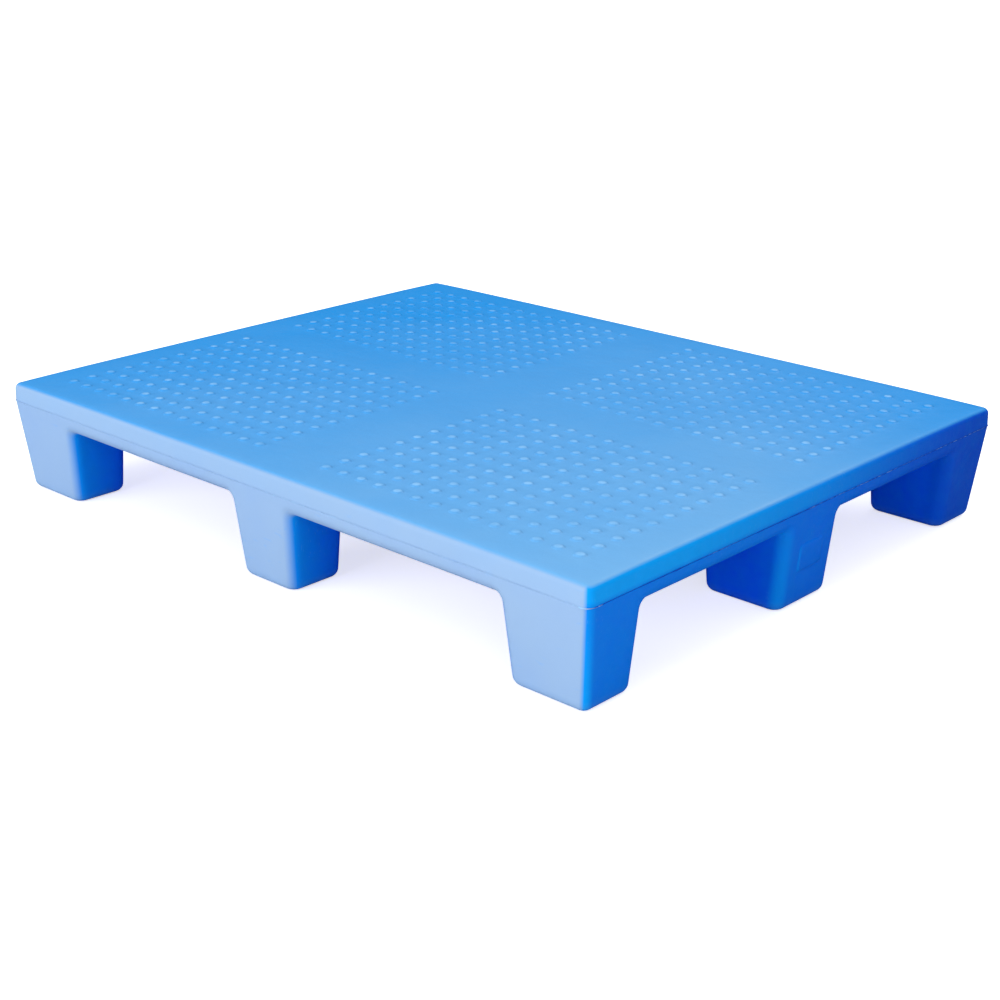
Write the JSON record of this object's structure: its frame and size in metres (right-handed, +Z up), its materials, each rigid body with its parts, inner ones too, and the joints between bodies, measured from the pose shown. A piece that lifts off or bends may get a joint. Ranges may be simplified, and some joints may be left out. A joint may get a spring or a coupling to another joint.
{
  "type": "plastic pallet",
  "caption": "Blue closed-deck plastic pallet: rows of raised grip studs on top, hollow tapered legs, fork lanes through both sides, steel ladder and foam core inside.",
  "frame": {"origin": "on the floor, under the middle of the pallet", "axes": "+X along the long side, +Y along the short side, +Z up"},
  "size_m": [1, 0.8, 0.15],
  "materials": {
    "deck_skin": "semi-matt moulded polyethylene, mid blue",
    "base_skin": "semi-matt moulded polyethylene, mid blue",
    "plug_plastic": "injection-moulded polyethylene, darker blue",
    "galvanised_steel": "galvanised, dull",
    "rigid_foam": "rigid polyurethane foam, open cut surface"
  },
  "bodies": {
    "root": {"deck_shell": "deck_skin", "base_shell": "base_skin", "foam_core": "rigid_foam", "front_rail": "galvanised_steel", "centre_rail": "galvanised_steel", "rear_rail": "galvanised_steel", "front_left_cross_tube": "galvanised_steel", "front_middle_cross_tube": "galvanised_steel", "front_right_cross_tube": "galvanised_steel", "rear_left_cross_tube": "galvanised_steel", "rear_middle_cross_tube": "galvanised_steel", "rear_right_cross_tube": "galvanised_steel", "front_left_fill_plug": "plug_plastic", "front_right_fill_plug": "plug_plastic", "rear_left_fill_plug": "plug_plastic", "rear_right_fill_plug": "plug_plastic"}
  },
  "joints": []
}
